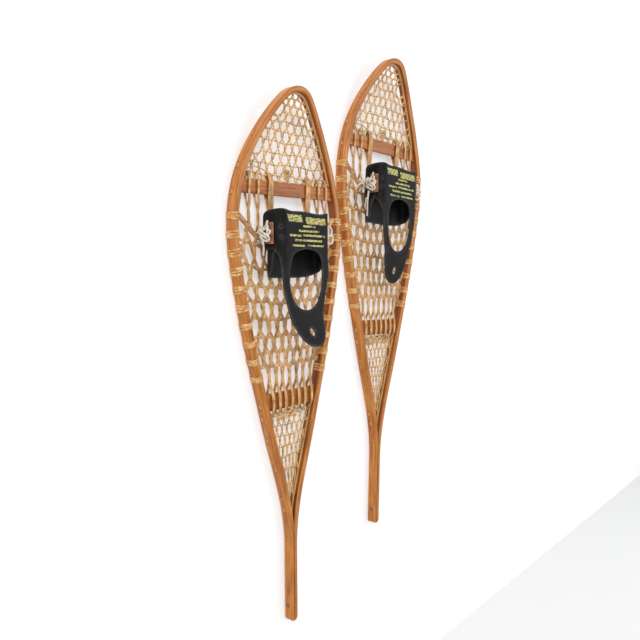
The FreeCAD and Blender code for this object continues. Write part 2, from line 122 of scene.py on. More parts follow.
def spline(points, start, end, steps):
    """A smooth curve through points that starts and ends along the given directions."""
    p = np.array(points, float)
    gaps = np.linalg.norm(np.diff(p, axis=0), axis=1)
    t = np.concatenate([[0], np.cumsum(gaps)])
    count = len(p)
    left = np.eye(count)
    right = np.zeros_like(p)
    right[0], right[-1] = start, end
    for i in range(1, count - 1):
        a, b = gaps[i - 1], gaps[i]
        left[i, i - 1:i + 2] = b, 2 * (a + b), a
        right[i] = 3 * (b * (p[i] - p[i - 1]) / a + a * (p[i + 1] - p[i]) / b)
    slope = np.linalg.solve(left, right)
    s = np.linspace(0, t[-1], steps)
    k = np.clip(np.searchsorted(t, s, "right") - 1, 0, count - 2)
    h = gaps[k][:, None]
    f = (s - t[k])[:, None] / h
    blend = f * f * (3 - 2 * f)
    bow = f * (1 - f)
    return p[k] * (1 - blend) + p[k + 1] * blend + h * bow * ((1 - f) * slope[k] - f * slope[k + 1])


def rail_outline():
    """Outer points, inner points and inward directions of the right-hand rail, from tail to tip."""
    low = [(TAIL_HALF - TAIL_CORNER + math.sqrt(TAIL_CORNER ** 2 - (TAIL_CORNER - z) ** 2), z)
           for z in (0.0, 0.5, 1.5, 3.5, 6.0)]
    straight = [(TAIL_HALF, z) for z in np.linspace(TAIL_CORNER, TAIL_STRAIGHT, 14)[:-1]]
    tip = []
    for angle in TIP_ANGLES:
        turn = math.radians(angle)
        tip.append((TIP_RADIUS * math.sin(turn), LENGTH - TIP_RADIUS * (1 - math.cos(turn))))
    through = [(w, z) for z, w in OUTLINE] + tip + [(0, LENGTH)]
    outer = np.vstack([low, straight, spline(through, (0, 1), (-1, 0), 190)])
    along = np.gradient(outer, axis=0)
    along /= np.linalg.norm(along, axis=1)[:, None]
    along[:len(low)] = 0, 1
    along[-1] = -1, 0
    inward = np.stack([-along[:, 1], along[:, 0]], 1)
    width = np.interp(outer[:, 1], *zip(*RAIL_WIDTHS))
    room = (outer[:, 0] - TAIL_GAP / 2) / np.maximum(-inward[:, 0], 1e-3)
    width = np.where(outer[:, 1] < 300, np.minimum(width, room), width)
    return outer, outer + inward * width[:, None], inward


OUTER, INNER, INWARD = rail_outline()
RISING = OUTER[:, 1] < 1200


def inner_x(z):
    """Half the width between the rails at height z."""
    return np.interp(z, INNER[RISING, 1], INNER[RISING, 0])


def rail_station(z):
    """Outer point, inward and upward directions and width of the right-hand rail at height z."""
    columns = (OUTER[:, 0], INWARD[:, 0], INWARD[:, 1])
    at = [np.interp(z, OUTER[RISING, 1], column[RISING]) for column in columns]
    inward = np.array([at[1], at[2]]) / math.hypot(at[1], at[2])
    tangent = np.array([-inward[1], inward[0]])
    tangent *= np.sign(tangent[1])
    return np.array([at[0], z]), inward, tangent, float(np.interp(z, *zip(*RAIL_WIDTHS)))


def bent(x, depth, z):
    """Points at a depth in the shoe, which bends forward towards the toe."""
    x, depth, z = np.broadcast_arrays(x, depth, z)
    over = np.maximum(z - BEND_Z, 0)
    y = np.sqrt((BEND_RADIUS + depth) ** 2 - over ** 2) - BEND_RADIUS
    return np.stack([x, y, z], -1).astype(float)


def run_along(points):
    """Length of a line up to each of its points."""
    return np.concatenate([[0], np.cumsum(np.linalg.norm(np.diff(points, axis=0), axis=1))])


# ---- meshes ----

class Shape:
    """Collects vertices, faces and texture coordinates of one piece."""

    def __init__(self):
        self.points = []
        self.faces = []
        self.uvs = []
        self.count = 0

    def grid(self, points, uvs, closed_around=True, closed_along=False, caps=True):
        """points: rings x around x 3. uvs has one more column than that round a ring, to close it."""
        rings, around = points.shape[:2]
        index = self.count + np.arange(rings * around).reshape(rings, around)
        self.points.append(points.reshape(-1, 3))
        self.count += rings * around
        for i in range(rings if closed_along else rings - 1):
            for j in range(around if closed_around else around - 1):
                i2, j2 = (i + 1) % rings, (j + 1) % around
                self.faces.append((index[i, j], index[i, j2], index[i2, j2], index[i2, j]))
                self.uvs += [uvs[i, j], uvs[i, j + 1], uvs[i + 1, j + 1], uvs[i + 1, j]]
        if caps and closed_around and not closed_along:
            for ring, row in ((index[0][::-1], uvs[0, :-1][::-1]), (index[-1], uvs[-1, :-1])):
                self.faces.append(tuple(ring))
                self.uvs += list(row)

    def mesh(self, name, side):
        data = bpy.data.meshes.new(name)
        faces = [list(map(int, face)) for face in self.faces]
        data.from_pydata(to_row(side, np.vstack(self.points)).tolist(), [], faces)
        layer = data.uv_layers.new(name="UVMap")
        layer.data.foreach_set("uv", np.array(self.uvs, np.float32).ravel())
        data.shade_smooth()
        data.update()
        return data


def unit(v):
    return v / np.maximum(np.linalg.norm(v, axis=-1, keepdims=True), 1e-9)


def oval_section(around, power=1.0):
    """Points of a unit oval; a power under 1 makes it squarer."""
    a = np.linspace(0, 2 * math.pi, around, endpoint=False)
    c, s = np.cos(a), np.sin(a)
    return np.stack([np.sign(c) * np.abs(c) ** power, np.sign(s) * np.abs(s) ** power], 1)


ROUND = oval_section(8)
RIBBON = oval_section(10, 0.6)


def sweep(shape, path, half_width, half_thickness, thin=(0, 1, 0), section=RIBBON, closed=False,
          seed=0.0):
    """A ribbon or cord along path. thin is the direction through its thickness."""
    path = np.asarray(path, float)
    if closed:
        tangent = unit(np.roll(path, -1, 0) - np.roll(path, 1, 0))
    else:
        tangent = unit(np.gradient(path, axis=0))
    thin = np.broadcast_to(np.asarray(thin, float), path.shape)
    wide = unit(np.cross(tangent, thin))
    thin = unit(np.cross(wide, tangent))
    half_width = np.broadcast_to(half_width, len(path))[:, None, None]
    half_thickness = np.broadcast_to(half_thickness, len(path))[:, None, None]
    ring = (wide[:, None] * section[None, :, :1] * half_width
            + thin[:, None] * section[None, :, 1:] * half_thickness)
    step = np.linalg.norm(np.diff(path, axis=0, append=path[:1]), axis=1)
    run = np.concatenate([[0], np.cumsum(step)])
    run = run if closed else run[:-1]
    across = np.linspace(0, 4 * float(half_width.max()), len(section) + 1)
    uvs = np.stack(np.meshgrid(run / 100 + seed, across / 100 + seed * 0.37, indexing="ij"), -1)
    shape.grid(path[:, None] + ring, uvs, closed_along=closed)


def smooth_path(points, step=3.0):
    """Evenly spaced points on a smooth curve through a few points."""
    p = np.asarray(points, float)
    start = unit(p[1] - p[0])
    end = unit(p[-1] - p[-2])
    length = np.linalg.norm(np.diff(p, axis=0), axis=1).sum()
    return spline(p, start, end, max(6, int(length / step)))


def add_object(name, data):
    """Puts a mesh, curve, light or camera in the scene."""
    thing = bpy.data.objects.new(name, data)
    bpy.context.scene.collection.objects.link(thing)
    return thing


def attach(piece, side, body, slot, *replaced):
    """Makes an object a piece that rides on a body and may stand for CAD nodes."""
    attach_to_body(piece, side + "_" + body)
    if replaced:
        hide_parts(*[side + "_" + node for node in replaced])


def add_piece(side, name, body, slot, look, shape, *replaced):
    """Puts a shape in the scene as a piece of the object."""
    data = shape.mesh(side + "_" + name, side)
    data.materials.append(LOOKS[look])
    piece = add_object(side + "_" + name, data)
    attach(piece, side, body, slot, *replaced)
    return piece


# ---- materials ----

class Look:
    """A material and short ways to add its nodes."""

    def __init__(self, name, **values):
        self.material = bpy.data.materials.new(name)
        self.material.use_nodes = True
        self.tree = self.material.node_tree
        self.shader = self.tree.nodes["Principled BSDF"]
        for socket, value in values.items():
            self.shader.inputs[socket.replace("_", " ")].default_value = value

    def add(self, kind, inputs=(), **settings):
        node = self.tree.nodes.new("ShaderNode" + kind)
        for key, value in settings.items():
            setattr(node, key, value)
        for key, value in dict(inputs).items():
            if isinstance(value, bpy.types.NodeSocket):
                self.tree.links.new(value, node.inputs[key])
            else:
                node.inputs[key].default_value = value
        return node

    def place(self, output, scale):
        """Texture coordinates stretched by scale."""
        found = self.add("TexCoord").outputs[output]
        return self.add("Mapping", {"Vector": found, "Scale": scale}).outputs[0]

    def noise(self, place, scale, detail=3.0, roughness=0.55, distortion=0.0):
        return self.add("TexNoise", {"Vector": place, "Scale": scale, "Detail": detail,
                                     "Roughness": roughness, "Distortion": distortion}).outputs[0]

    def cloud(self, size, detail, roughness, scale=1.0):
        """Noise of one size in every direction."""
        return self.noise(self.place("Object", (size, size, size)), scale, detail, roughness)

    def ramp(self, value, *stops):
        node = self.add("ValToRGB", {"Fac": value})
        elements = node.color_ramp.elements
        while len(elements) < len(stops):
            elements.new(0.5)
        for element, (position, colour) in zip(elements, stops):
            element.position = position
            element.color = (*colour, 1) if hasattr(colour, "__len__") else (colour, colour, colour, 1)
        return node.outputs[0]

    def mix(self, factor, a, b, blend_type="MIX"):
        a, b = ((*value, 1) if isinstance(value, tuple) else value for value in (a, b))
        node = self.add("Mix", {0: factor, 6: a, 7: b}, data_type="RGBA", blend_type=blend_type)
        return node.outputs[2]

    def shade(self, factor, colour, value, *stops):
        """Colour darkened by a ramp."""
        return self.mix(factor, colour, self.ramp(value, *stops), "MULTIPLY")

    def math(self, operation, a, b=0.0):
        return self.add("Math", {0: a, 1: b}, operation=operation).outputs[0]

    def attribute(self, name):
        return self.add("Attribute", attribute_name=name).outputs["Fac"]

    def set(self, socket, value):
        self.tree.links.new(value, self.shader.inputs[socket])

    def finish(self, colour, height, strength, distance):
        """Sets the colour and the bump, and gives the material."""
        self.set("Base Color", colour)
        node = self.add("Bump", {"Height": height, "Strength": strength, "Distance": distance})
        self.set("Normal", node.outputs[0])
        return self.material


def wood(name, output, along, light, middle, dark):
    """Varnished ash: fine pores and broad streaks along the grain, with a few dark flecks."""
    look = Look(name, Coat_Weight=0.12, Coat_Roughness=0.2, Specular_IOR_Level=0.3)
    unit_scale = 1.0 if output == "UV" else 10.0

    def grain(lengthwise, crosswise, scale, *settings):
        """Noise that is drawn out along the grain."""
        sizes = [unit_scale * (lengthwise if i == along else crosswise) for i in range(3)]
        return look.noise(look.place(output, sizes), scale, *settings)

    broad = grain(0.6, 9.0, 1.6, 4, 0.6, 0.6)
    fine = grain(1.2, 60.0, 2.2, 2, 0.5)
    patch = grain(0.9, 0.9, 1.7, 2, 0.5)
    colour = look.ramp(broad, (0.28, dark), (0.45, middle), (0.60, light))
    colour = look.shade(0.55, colour, fine, (0.35, 0.62), (0.55, 1.0))
    colour = look.shade(0.6, colour, patch, (0.35, (0.80, 0.66, 0.52)), (0.62, (1.0, 1.0, 1.0)))
    mark = look.ramp(grain(2.5, 11, 1.9, 1, 0.4), (0.70, 0.0), (0.76, 1.0))
    colour = look.mix(look.math("MULTIPLY", mark, 0.7), colour, (0.09, 0.03, 0.01))
    # faces marked inside, the inner faces of the rail, are made darker in colour
    inner_darkening = look.math("MULTIPLY", look.attribute("inside"), 0.85)
    colour = look.mix(inner_darkening, colour, look.mix(1.0, colour, (0.46, 0.33, 0.27), "MULTIPLY"))
    look.set("Roughness", look.ramp(broad, (0.3, 0.42), (0.7, 0.30)))
    return look.finish(colour, look.mix(0.3, fine, broad), 0.25, 0.0004)


def rawhide(name, pale, middle, dark, darkness=0.55):
    """Dried hide lacing: fibres along the strand, semi-clear pale stretches and dark grease."""
    look = Look(name, Coat_Weight=0.12, Coat_Roughness=0.25, Specular_IOR_Level=0.35)
    along = look.place("UV", (3.0, 30.0, 1))
    fibre = look.noise(along, 3.0, 3, 0.6)
    blotch = look.noise(look.place("UV", (5.0, 5.0, 1)), 1.3, 3, 0.6)
    dirt = look.cloud(26, 3, 0.65)
    colour = look.ramp(blotch, (0.30, dark), (0.47, middle), (0.66, pale))
    colour = look.shade(0.5, colour, fibre, (0.30, 0.62), (0.55, 1.0))
    colour = look.shade(0.75, colour, dirt, (0.36, darkness), (0.54, 1.0))
    look.set("Roughness", look.ramp(fibre, (0.3, 0.55), (0.7, 0.36)))
    return look.finish(colour, fibre, 0.6, 0.0005)


def rubber(name):
    """Matte black sheet, dusty in patches and rubbed grey along its edges."""
    look = Look(name, Specular_IOR_Level=0.17)
    cloud = look.cloud(14, 4, 0.6, 1.4)
    scuff = look.noise(look.place("Object", (60, 60, 24)), 2.0, 5, 0.7)
    micro = look.cloud(900, 2, 0.5)
    colour = look.ramp(cloud, (0.35, (0.0034, 0.0033, 0.0032)), (0.65, (0.0105, 0.0100, 0.0096)))
    dust = look.ramp(scuff, (0.60, 0.0), (0.74, 1.0))
    colour = look.mix(look.math("MULTIPLY", dust, 0.36), colour, (0.13, 0.125, 0.12))
    worn = look.math("MULTIPLY", look.attribute("edge"), look.ramp(scuff, (0.35, 0.2), (0.6, 1.0)))
    colour = look.mix(look.math("MULTIPLY", worn, 0.5), colour, (0.10, 0.105, 0.11))
    look.set("Roughness", look.ramp(cloud, (0.3, 0.48), (0.7, 0.64)))
    return look.finish(colour, look.mix(0.4, micro, scuff), 0.25, 0.0004)


def print_paint():
    """Yellow paint that has partly worn off the rubber."""
    look = Look("worn_yellow_print", Roughness=0.6)
    wear = look.cloud(240, 4, 0.7)
    colour = look.ramp(wear, (0.42, (0.03, 0.03, 0.03)), (0.50, (0.50, 0.46, 0.13)),
                       (0.7, (0.66, 0.61, 0.22)))
    return look.finish(colour, wear, 0.3, 0.0002)


def leather():
    """Rough reddish leather, darker where it is greasy."""
    look = Look("reddish_leather", Roughness=0.75)
    nap = look.cloud(420, 4, 0.7)
    stain = look.cloud(70, 3, 0.6)
    colour = look.ramp(stain, (0.35, (0.20, 0.075, 0.035)), (0.60, (0.42, 0.18, 0.095)))
    colour = look.shade(0.4, colour, nap, (0.3, 0.55), (0.6, 1.0))
    return look.finish(colour, nap, 0.6, 0.0006)


def cotton():
    """Braided white cord, slightly dirty."""
    look = Look("white_cotton", Roughness=0.9, Sheen_Weight=0.3)
    place = look.place("UV", (1, 1, 1))
    wave = look.add("TexWave", {"Vector": place, "Scale": 9.0, "Distortion": 0.5},
                    wave_type="BANDS", bands_direction="DIAGONAL").outputs[1]
    dirt = look.cloud(120, 3, 0.6)
    colour = look.ramp(dirt, (0.30, (0.50, 0.42, 0.32)), (0.55, (0.80, 0.75, 0.66)))
    colour = look.shade(0.35, colour, wave, (0.2, 0.6), (0.6, 1.0))
    return look.finish(colour, wave, 0.7, 0.0006)


def plain_metal():
    """Dull steel with brown tarnish."""
    look = Look("dull_steel", Metallic=0.85)
    spots = look.cloud(500, 3, 0.6)
    colour = look.ramp(spots, (0.4, (0.10, 0.06, 0.04)), (0.6, (0.30, 0.25, 0.20)))
    look.set("Roughness", look.ramp(spots, (0.4, 0.7), (0.6, 0.4)))
    return look.finish(colour, spots, 0.3, 0.0002)


def painted_hole_shade():
    """Painted shade: a near-black colour that stands for the shade inside a small hole, mottled like dirt."""
    look = Look("hole_painted_shade", Roughness=0.95)
    # noise mottles the painted hole shade, partly as dirt
    dirt = look.cloud(700, 2, 0.5)
    look.set("Base Color", look.ramp(dirt, (0.4, (0.012, 0.006, 0.003)), (0.6, (0.05, 0.022, 0.01))))
    return look.material


LOOKS = {
    "rail": wood("ash_rail_varnish", "UV", 0,
                 (0.62, 0.245, 0.040), (0.46, 0.155, 0.020), (0.27, 0.076, 0.009)),
    "bar": wood("ash_bar_varnish", "Object", 0,
                (0.50, 0.165, 0.020), (0.38, 0.108, 0.010), (0.22, 0.050, 0.005)),
    "fine": rawhide("rawhide_fine_strand",
                    (0.86, 0.60, 0.29), (0.70, 0.41, 0.155), (0.46, 0.22, 0.07)),
    "coarse": rawhide("rawhide_coarse_strand",
                      (0.78, 0.49, 0.23), (0.63, 0.34, 0.125), (0.43, 0.20, 0.062)),
    "turns": rawhide("rawhide_rail_turns",
                     (0.86, 0.58, 0.27), (0.66, 0.32, 0.085), (0.48, 0.19, 0.04), 0.8),
    "rubber": rubber("black_rubber"),
    "print": print_paint(),
    "leather": leather(),
    "cotton": cotton(),
    "steel": plain_metal(),
    # painted shade for holes, put where a hole's dark inside would show
    "hole": painted_hole_shade(),
}


# ---- the bent rail ----

def rounded_corners(width, depth, radius, steps=4):
    """Rounded rectangle from (0, 0) to (width, depth): steps points a corner, in order round it."""
    rows = []
    for cx, cy, turn in ((radius, radius, 180), (width - radius, radius, 270),
                         (width - radius, depth - radius, 0), (radius, depth - radius, 90)):
        for k in range(steps):
            a = math.radians(turn + 90 * k / (steps - 1))
            rows.append((cx + radius * math.cos(a), cy + radius * math.sin(a)))
    return np.array(rows)


def bent_rail(side):
    """The whole rail as one swept strip, from one tail end round the toe to the other."""
    outer = np.vstack([OUTER, OUTER[-2::-1] * (-1, 1)])
    inward = np.vstack([INWARD, INWARD[-2::-1] * (-1, 1)])
    widths = np.linalg.norm(INNER - OUTER, axis=1)
    widths = np.concatenate([widths, widths[-2::-1]])
    rings = []
    for point, direction, width in zip(outer, inward, widths):
        radius = min(RAIL_ROUNDING, 0.3 * width)
        section = rounded_corners(width, RAIL_DEPTH, radius)
        plan = point + direction * section[:, :1]
        rings.append(bent(plan[:, 0], section[:, 1], plan[:, 1]))
    rings = np.array(rings)
    run = run_along(outer) / 100
    section = rounded_corners(18, RAIL_DEPTH, RAIL_ROUNDING)
    around = np.vstack([section, section[:1]])
    across = run_along(around) / 100
    shape = Shape()
    start = 7 if side == "right" else 0
    shape.grid(rings, np.stack(np.meshgrid(run + start, across, indexing="ij"), -1))
    piece = add_piece(side, "bent_rail", "shoe", "ash_rail", "rail", shape, "frame")
    # marks the rail's inner faces, which the rail finish colours darker
    shade = piece.data.attributes.new("inside", "FLOAT", "POINT")
    on_inner = (section[:, 0] > 17.0).astype(np.float32)
    shade.data.foreach_set("value", np.tile(on_inner, len(rings)))


STITCHES = (1108, 1039, 985, 522, 492, 441, 371, 296, 270)


def rail_stitches(side):
    """Short thongs sunk in the rail's outer face, with a dark dot of painted shade for the drilled hole at
    each end of each.
    """
    thongs, holes = Shape(), Shape()
    for mirror in (-1, 1):
        for n, z in enumerate(STITCHES):
            point, inward, tangent, _ = rail_station(z)
            ends = [point + tangent * t - inward * 0.15 for t in (-6.5, -2, 2, 6.5)]
            depth = 11 + 1.5 * math.sin(2.1 * n + mirror)
            path = [bent(mirror * p[0], depth + 0.4 * k, p[1]) for k, p in enumerate(ends)]
            outward = (-mirror * inward[0], 0, -inward[1])
            sweep(thongs, smooth_path(path, 1.5), 0.9, 0.35, outward, seed=n * 0.31)
            # dark dots of painted shade where the drilled holes are
            for spot in (path[0], path[-1]):
                rim = np.array(spot) + np.array(outward) * 0.05
                along = np.array([mirror * tangent[0], 0, tangent[1]])
                dot = [rim - along * 1.9, rim - along * 0.7, rim + along * 0.7, rim + along * 1.9]
                sweep(holes, dot, np.array([0.5, 1.5, 1.5, 0.5]), 0.3, outward, section=ROUND)
    add_piece(side, "rail_stitches", "shoe", "rawhide_fine", "fine", thongs)
    # the dots take the near-black hole finish: painted shade, not real holes
    add_piece(side, "stitch_hole_shade", "shoe", "ash_rail", "hole", holes)


# ---- rawhide ----

def wobble(side, x, z, size):
    """A smooth unevenness of a hand-made weave."""
    k = 0.0 if side == "left" else 2.4
    dx = size * (math.sin(0.061 * z + 0.043 * x + k) + 0.6 * math.sin(0.13 * z - 0.09 * x + 1.3 + k))
    dz = size * (math.sin(0.052 * x - 0.037 * z + 2.0 + k) + 0.6 * math.sin(0.11 * x + 0.08 * z + 0.4 + k))
    return x + dx, z + dz


def weave(side, shape, rows, pitch, spec, inside, anchor, last_leg=None):
    """Three sets of strands: level ones between hole rows, and two slanting sets between holes."""
    count = len(rows)
    order = np.arange(count)

    def at(u, v):
        z = float(np.interp(v, order, rows))
        p = float(np.interp(v, order, np.linspace(pitch[0], pitch[1], count)))
        x, z = wobble(side, u * p, z, spec["wobble"])
        z += spec["sag"] * x * x * (1 - v / count)
        for gap_x, gap_z, size in spec["gaps"]:
            dx, dz = x - gap_x, z - gap_z
            away = math.hypot(dx, dz) + 0.01
            push = 0.62 * size * math.exp(-(away / (1.35 * size)) ** 2)
            x += push * dx / away
            z += push * dz / away
        return x, z

    def lay(line, half_width, seed, sign):
        """Sweeps each stretch of a line that lies inside the web, with both its ends."""
        start = None
        for i, ok in enumerate([inside(x, z) for x, z, _ in line] + [False]):
            if ok and start is None:
                start = i
            if ok or start is None:
                continue
            run = line[start:i]
            start = None
            if len(run) <= 3:
                continue
            points = anchor(run[0], run[2]) + [bent(x, spec["depth"] + d, z) for x, z, d in run]
            if i < len(line) or not last_leg:
                points += anchor(run[-1], run[-3])
            elif sign:
                points += last_leg(run[-1], sign)
            path = smooth_path(thin_out(points), 2.6)
            wide = half_width * (1 + 0.10 * np.sin(np.arange(len(path)) * 0.23 + seed * 5))
            sweep(shape, path, wide, STRAND_HALF_THICKNESS, seed=seed)

    across = int(230 / min(pitch)) + 2
    step = 0.125
    seed = 0.0
    for r in range(count - 1):
        line = []
        for u in np.arange(-across, across + step, step):
            x, z = at(u, r + 0.5)
            shift = ((r + spec["phase"]) % 2) * 0.5
            line.append((x, z, math.cos(2 * math.pi * (u - shift) + math.pi / 2) * spec["amplitude"]))
        seed += 0.173
        lay(line, spec["level"], seed, 0)
    for sign in (-1, 1):
        for k in range(-across - count, across + count):
            line = []
            for v in np.arange(0, count - 1 + step / 2, step):
                x, z = at(k + 0.5 + spec["phase"] * 0.5 + sign * v / 2, v)
                line.append((x, z, sign * math.cos(2 * math.pi * v) * spec["amplitude"]))
            seed += 0.173
            lay(line, spec["slant"], seed, sign)


def meet_rail(spot, before, half, depth):
    """Where a strand that keeps its slope meets the rail's inner face."""
    edge = math.copysign(half, spot[0])
    across = spot[0] - before[0]
    slope = (spot[1] - before[1]) / across if abs(across) > 0.5 else 0.0
    rise = max(-9.0, min(9.0, slope * (edge - spot[0])))
    return [bent(edge, depth, spot[1] + rise)]


def thin_out(points, gap=4.0):
    """Drops points that lie closer than gap to the one before, and keeps the ends."""
    points = [np.array(p, float).reshape(3) for p in points]
    kept = [points[0]]
    for p in points[1:-1]:
        if np.linalg.norm(p - kept[-1]) > gap and np.linalg.norm(p - points[-1]) > gap:
            kept.append(p)
    return kept + [points[-1]]


def toe_weave(side):
    """The fine web ahead of the front crossbar, with the strand along its lower edge."""
    shape = Shape()
    gaps = TOE_GAPS if side == "left" else [(-x, z - 12, size) for x, z, size in TOE_GAPS]
    spec = {"wobble": 1.4, "amplitude": 1.5, "level": 1.5, "slant": 1.9, "phase": 1,
            "depth": TOE_WEB_Y, "sag": 0.0, "gaps": gaps}
    top = LENGTH - 13.5

    def half_at(z):
        if z < 1196:
            return float(inner_x(z))
        if z < top - 1:
            return math.sqrt(max(TIP_INNER_RADIUS ** 2 - (z - (top - TIP_INNER_RADIUS)) ** 2, 0))
        return 0.0

    def inside(x, z):
        return z > 1019 and z < top - 6 and abs(x) < half_at(z) - 5

    def anchor(spot, before):
        x, z, _ = spot
        if z < 1027:
            return [bent(x, 6.5, 1012.0)]
        if z > top - 14:
            return [bent(x, TOE_WEB_Y, top - 1.0)]
        return meet_rail(spot, before, half_at(z) - 1.0, TOE_WEB_Y)

    weave(side, shape, TOE_ROWS, TOE_PITCH, spec, inside, anchor)
    edge = [(-146, 1019), (-120, 1038), (-98, 1040), (-60, 1030), (-8, 1027), (30, 1027), (70, 1024),
            (140, 1021)]
    path = smooth_path([bent(x, TOE_WEB_Y - 2.0, z) for x, z in edge])
    sweep(shape, path, 1.4, 1.0, seed=3.3)
    knot_at_centre(shape)
    add_piece(side, "toe_weave", "shoe", "rawhide_fine", "fine", shape, "toe_lacing")


def knot_at_centre(shape):
    """A bundle of turns on the middle strands just above the front crossbar."""
    for k in range(5):
        z = 1022 + 4.6 * k
        turn = np.linspace(0, 2 * math.pi, 16, endpoint=False)
        lean = 1.3 * np.sin(turn + k)
        ring = bent(-2 + 5.6 * np.cos(turn), TOE_WEB_Y + 4.2 * np.sin(turn), z + lean)
        sweep(shape, ring, 2.0, 0.9, unit(ring - ring.mean(0)), closed=True, seed=k * 0.4)


def centre_top(x):
    """Lower edge of the toe cord."""
    slope = (CORD_RAIL_Z - CORD_Z) / (157 - CORD_STRAIGHT)
    return CORD_Z - 7 + max(0.0, abs(x) - CORD_STRAIGHT) * slope


def centre_weave(side):
    """The coarse web under the foot, with its strands carried on round the rear crossbar."""
    shape = Shape()
    spec = {"wobble": 1.3, "amplitude": 1.3, "level": 3.3, "slant": 4.3, "phase": 0,
            "depth": CENTRE_WEB_Y, "sag": 0.0012, "gaps": []}

    def inside(x, z):
        return z > 580 and z < centre_top(x) - 2 and abs(x) < inner_x(z) - 11

    def anchor(spot, _):
        x, z, _ = spot
        if z > centre_top(x) - 14:
            return [bent(x, CORD_Y - 3, centre_top(x) + 5)]
        h = min(WRAP_HEIGHTS, key=lambda height: abs(height - z))
        return [bent(math.copysign(inner_x(h) - 0.5, x), CENTRE_WEB_Y + 2.0, h + 0.3 * (z - h))]

    def legs(spot, sign):
        """Down over or behind the rear crossbar, and into the tangle below it."""
        x, z, _ = spot
        narrow = [x * k for k in (0.985, 0.95, 0.92, 0.90)]
        depth = (OVER_BAR_Y, OVER_BAR_Y, 9.0) if sign > 0 else (BEHIND_BAR_Y, BEHIND_BAR_Y, 12.0)
        heights = (z - 22, REAR_BAR[1] + 3, REAR_BAR[0] - 3, REAR_BAR[0] - 12)
        return [bent(n + 1.6 * sign, d, h) for n, d, h in zip(narrow, (CENTRE_WEB_Y, *depth), heights)]

    weave(side, shape, CENTRE_ROWS, CENTRE_PITCH, spec, inside, anchor, legs)
    add_piece(side, "centre_weave", "shoe", "rawhide_coarse", "coarse", shape,
              "centre_lacing", "heel_strands")


def tail_weave(side):
    """The fine web behind the rear crossbar."""
    shape = Shape()
    spec = {"wobble": 1.0, "amplitude": 1.3, "level": 1.4, "slant": 1.6, "phase": 0,
            "depth": TAIL_WEB_Y, "sag": 0.0, "gaps": []}

    def inside(x, z):
        return 300 < z < 503 and abs(x) < inner_x(z) - 3

    def anchor(spot, before):
        x, z, _ = spot
        if z > 494:
            return [bent(x, TAIL_WEB_Y, 507.0)]
        return meet_rail(spot, before, max(inner_x(z) - 1.0, 1), TAIL_WEB_Y)

    weave(side, shape, TAIL_ROWS, TAIL_PITCH, spec, inside, anchor)
    tangle(side, shape)
    add_piece(side, "tail_weave", "shoe", "rawhide_fine", "fine", shape, "tail_lacing")


def tangle(side, shape):
    """Loose turns wound round the strands just below the rear crossbar."""
    reach = 42 if side == "left" else 56
    for k in range(4):
        x = np.linspace(-reach, reach * (0.55 if side == "left" else 0.9), 40)
        z = 500 - 5.5 * k + 2.6 * np.sin(x * 0.33 + k * 1.9)
        depth = TAIL_WEB_Y - 1.5 + 3.0 * np.sin(x * 0.40 + k * 2.3)
        sweep(shape, bent(x, depth, z), 1.8, 1.0, seed=5 + k)


def bar_strands(side):
    """Strands from the toe web over and behind the front crossbar, crossing once above the toe cord."""
    shape = Shape()
    places = ((57, 4.1), (65, 4.1), (98.5, 3.2), (126, 3.2))
    for mirror in (-1, 1):
        for n, (x, half) in enumerate(places):
            x *= mirror
            low = centre_top(x) + (28 if n == 2 else 14)
            lean = 2.0 * math.sin(3 * n + mirror)
            crossing = (low + 955) / 2
            front = [(x + lean, TOE_WEB_Y - 2, 1030), (x + lean * 0.6, OVER_BAR_Y, 1017),
                     (x, OVER_BAR_Y, 981), (x + 1.2, 6.0, 962), (x - 0.8, 8.6, crossing),
                     (x - 1, 3.5, low), (x - 1, 0.5, low - 8)]
            back = [(x + lean, TOE_WEB_Y + 1, 1030), (x + 0.5, 17.0, 1017), (x, BEHIND_BAR_Y, 981),
                    (x - 1.2, 10.5, 960), (x + 0.8, 6.8, crossing), (x + 1, 11.0, low),
                    (x + 1, 14.5, low - 8)]
            for k, route in enumerate((front, back)):
                path = smooth_path([bent(*p) for p in route])
                sweep(shape, path, half, 1.1, seed=n * 0.7 + k * 0.3 + mirror)
    add_piece(side, "toe_strand_loops", "shoe", "rawhide_coarse", "coarse", shape, "toe_strands")


def toe_cord(side):
    """The master cord: six flat strands laid loosely round each other, from rail to rail."""
    shape = Shape()
    edge = inner_x(CORD_RAIL_Z) - 0.5
    half = [(50, CORD_Y, 888.5), (98, CORD_Y, 891), (128, CORD_Y, 914), (edge, CORD_Y + 1, CORD_RAIL_Z)]
    spine = smooth_path([(-x, y, z) for x, y, z in half[::-1]] + [(0, CORD_Y, 888)] + half, 3)
    tangent = unit(np.gradient(spine, axis=0))
    up = unit(np.cross(tangent, (0, 1, 0)))
    run = run_along(spine)
    for k in range(6):
        turn = run / CORD_TWIST + k * math.pi / 3
        out = up * np.cos(turn)[:, None] + np.array([0, 1.0, 0]) * np.sin(turn)[:, None]
        sweep(shape, spine + out * 3.9, 2.7, 1.7, out, section=ROUND, seed=k * 0.41)
    add_piece(side, "toe_cord_bundle", "shoe", "rawhide_coarse", "coarse", shape, "toe_cord")


